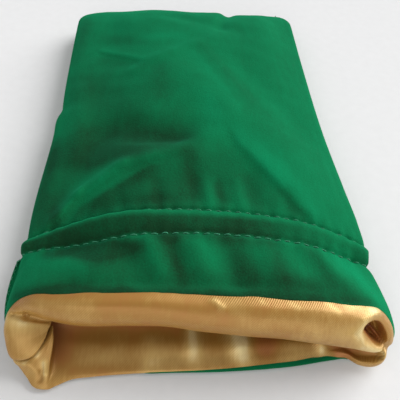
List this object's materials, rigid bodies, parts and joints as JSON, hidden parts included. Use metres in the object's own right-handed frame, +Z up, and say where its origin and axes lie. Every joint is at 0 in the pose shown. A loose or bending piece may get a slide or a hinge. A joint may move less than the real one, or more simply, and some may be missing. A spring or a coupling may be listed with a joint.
{
  "type": "drawstring dice bag",
  "caption": "Lined drawstring pouch for gaming dice, lying flat with its mouth open and its satin lining rolled over the lip.",
  "frame": {"origin": "centre of the pouch's footprint on the surface it rests on", "axes": "+Z up from the table, +Y from the open mouth towards the sewn bottom, +X to the right seen from the mouth"},
  "size_m": [0.0972, 0.152, 0.0224],
  "materials": {
    "velvet": "matte",
    "satin": "satin",
    "green_thread": "satin",
    "gold_thread": "satin",
    "cord": "satin"
  },
  "bodies": {
    "bag": {"front_velvet": "velvet", "back_velvet": "velvet", "front_lining": "satin", "back_lining": "satin", "left_side_seam": "green_thread", "right_side_seam": "green_thread", "bottom_seam": "green_thread", "left_header_seam": "green_thread", "right_header_seam": "green_thread", "back_mouth_seam": "green_thread", "front_casing_upper_stitching": "green_thread", "front_casing_lower_stitching": "green_thread", "back_casing_upper_stitching": "green_thread", "back_casing_lower_stitching": "green_thread", "left_exit_bartacks": "green_thread", "right_exit_bartacks": "green_thread", "lining_left_seam": "gold_thread", "lining_right_seam": "gold_thread", "lining_bottom_seam": "gold_thread", "left_drawstring": "cord", "right_drawstring": "cord"},
    "front_lip": {"front_header_velvet": "velvet", "front_header_lining": "satin", "front_mouth_seam": "green_thread"},
    "left_pull": {"left_drawstring_pull": "cord"},
    "right_pull": {"right_drawstring_pull": "cord"}
  },
  "joints": [
    {"name": "front_lip_lift", "type": "hinge", "parent": "bag", "child": "front_lip", "pos_m": [0, -0.0475, 0.0211], "axis": [-1, 0, 0], "range_deg": [0, 45]},
    {"name": "left_pull_slide", "type": "slide", "parent": "bag", "child": "left_pull", "axis": [-1, 0, 0], "range_m": [0, 0.012]},
    {"name": "right_pull_slide", "type": "slide", "parent": "bag", "child": "right_pull", "axis": [1, 0, 0], "range_m": [0, 0.012]}
  ]
}
